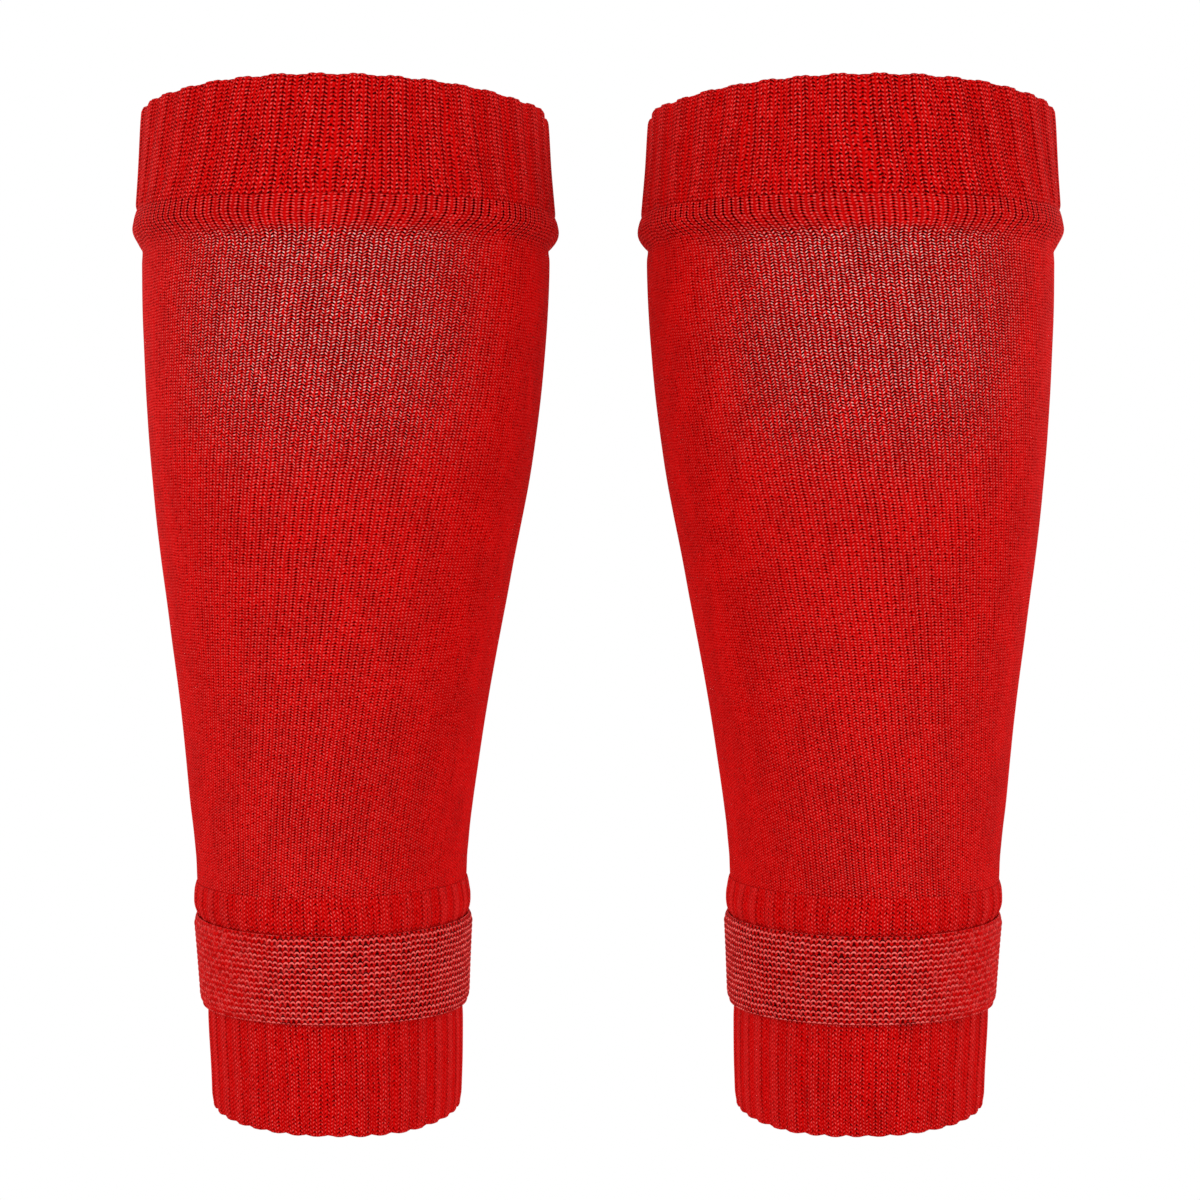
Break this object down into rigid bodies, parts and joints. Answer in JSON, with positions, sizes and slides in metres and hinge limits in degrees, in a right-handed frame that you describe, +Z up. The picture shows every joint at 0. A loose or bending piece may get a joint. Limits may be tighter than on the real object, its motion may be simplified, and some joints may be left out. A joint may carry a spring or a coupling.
{
  "type": "pair of leg sleeves",
  "caption": "Pair of footless knitted leg sleeves for sport, each a tapered tube with a ribbed calf cuff, a ribbed ankle cuff and an elastic strap round the ankle.",
  "frame": {"origin": "between the two sleeves, at half the height of their calf cuffs, where the legs hold the pair up", "axes": "+X to the right of the pair, -Y the front, +Z up the legs"},
  "size_m": [0.2824, 0.1301, 0.3012],
  "materials": {
    "calf_cuff_knit": "matte 2 by 2 rib knit",
    "leg_knit": "matte plain knit, stretched and paler at the calf",
    "ankle_cuff_knit": "matte 2 by 2 rib knit",
    "strap_knit": "elastic purl knit with a slight sheen"
  },
  "bodies": {
    "root": {"calf_cuff_left": "calf_cuff_knit", "calf_cuff_right": "calf_cuff_knit", "leg_tube_left": "leg_knit", "leg_tube_right": "leg_knit", "ankle_cuff_left": "ankle_cuff_knit", "ankle_cuff_right": "ankle_cuff_knit", "ankle_strap_left": "strap_knit", "ankle_strap_right": "strap_knit"}
  },
  "joints": []
}
